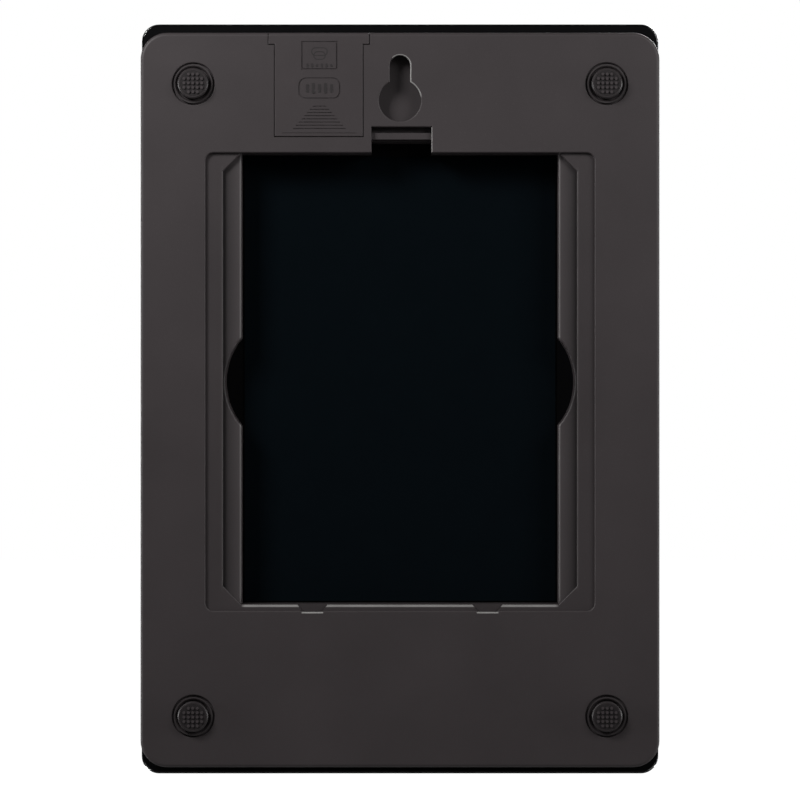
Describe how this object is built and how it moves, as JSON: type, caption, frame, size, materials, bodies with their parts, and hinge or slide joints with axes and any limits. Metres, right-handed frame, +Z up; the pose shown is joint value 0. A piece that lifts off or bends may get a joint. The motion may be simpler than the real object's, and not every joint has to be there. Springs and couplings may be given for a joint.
{
  "type": "digital photo frame",
  "caption": "Slim glass-fronted photo frame with a built-in scale: open rear pocket for a print, sprung weighing feet, sliding coin-cell door and a wall keyhole.",
  "frame": {"origin": "centre of the keyhole's round entry, in the plane of the housing's back", "axes": "+Z up as it hangs on a wall, +Y out of the back towards the wall, +X to the right seen from the glass side"},
  "size_m": [0.148, 0.0186, 0.2146],
  "materials": {
    "housing_plastic": "fine spark-eroded moulded texture",
    "door_plastic": "fine moulded texture with raised marks",
    "clear_glass": "polished tempered glass",
    "print_black": "opaque screen print",
    "tape_black": "foam tape",
    "insert_card": "smooth black card",
    "cell_steel": "brushed",
    "contact_nickel": "nickel plated",
    "foot_plastic": "satin",
    "foot_rubber": "dotted grip face",
    "collar_rubber": "soft matt",
    "load_steel": "stamped spring steel",
    "holder_plastic": "natural",
    "signal_lead": "insulated leads",
    "gauge_film": "foil gauge under lacquer",
    "screw_steel": "zinc plated",
    "board_laminate": "solder mask",
    "chip_epoxy": "epoxy",
    "lcd_glass": "display panel",
    "zebra_rubber": "layered elastomer",
    "touch_foam": "conductive foam",
    "lead_red": "insulated lead",
    "lead_black": "insulated lead"
  },
  "bodies": {
    "frame": {"rear_housing": "housing_plastic", "front_glass": "clear_glass", "glass_print": "print_black", "glass_tape": "tape_black", "pocket_tape": "tape_black", "insert_card": "insert_card", "coin_cell": "cell_steel", "contact_minus": "contact_nickel", "contact_plus": "contact_nickel", "foot_collar_upper_left": "collar_rubber", "load_cell_upper_left": "load_steel", "load_holder_upper_left": "holder_plastic", "signal_lead_upper_left": "signal_lead", "foot_collar_upper_right": "collar_rubber", "load_cell_upper_right": "load_steel", "load_holder_upper_right": "holder_plastic", "signal_lead_upper_right": "signal_lead", "foot_collar_lower_left": "collar_rubber", "load_cell_lower_left": "load_steel", "load_holder_lower_left": "holder_plastic", "signal_lead_lower_left": "signal_lead", "foot_collar_lower_right": "collar_rubber", "load_cell_lower_right": "load_steel", "load_holder_lower_right": "holder_plastic", "signal_lead_lower_right": "signal_lead", "strain_gauges": "gauge_film", "holder_screws": "screw_steel", "board_screws": "screw_steel", "main_board": "board_laminate", "controller_chip": "chip_epoxy", "amplifier_chip": "chip_epoxy", "lcd_panel": "lcd_glass", "lcd_frame": "holder_plastic", "zebra_strip_upper": "zebra_rubber", "zebra_strip_lower": "zebra_rubber", "touch_pad_left": "touch_foam", "touch_pad_right": "touch_foam", "power_lead_plus": "lead_red", "power_lead_minus": "lead_black"},
    "battery_door": {"battery_door": "door_plastic"},
    "foot_upper_left": {"foot_cup_upper_left": "foot_plastic", "foot_pad_upper_left": "foot_rubber"},
    "foot_upper_right": {"foot_cup_upper_right": "foot_plastic", "foot_pad_upper_right": "foot_rubber"},
    "foot_lower_left": {"foot_cup_lower_left": "foot_plastic", "foot_pad_lower_left": "foot_rubber"},
    "foot_lower_right": {"foot_cup_lower_right": "foot_plastic", "foot_pad_lower_right": "foot_rubber"}
  },
  "joints": [
    {"name": "battery_door_slide", "type": "slide", "parent": "frame", "child": "battery_door", "axis": [0, 0, 1], "range_m": [0, 0.032]},
    {"name": "foot_press_upper_left", "type": "slide", "parent": "frame", "child": "foot_upper_left", "axis": [0, -1, 0], "range_m": [0, 0.0006], "stiffness_N_per_m": 3000, "deforming": ["load_cell_upper_left"]},
    {"name": "foot_press_upper_right", "type": "slide", "parent": "frame", "child": "foot_upper_right", "axis": [0, -1, 0], "range_m": [0, 0.0006], "stiffness_N_per_m": 3000, "deforming": ["load_cell_upper_right"]},
    {"name": "foot_press_lower_left", "type": "slide", "parent": "frame", "child": "foot_lower_left", "axis": [0, -1, 0], "range_m": [0, 0.0006], "stiffness_N_per_m": 3000, "deforming": ["load_cell_lower_left"]},
    {"name": "foot_press_lower_right", "type": "slide", "parent": "frame", "child": "foot_lower_right", "axis": [0, -1, 0], "range_m": [0, 0.0006], "stiffness_N_per_m": 3000, "deforming": ["load_cell_lower_right"]}
  ]
}
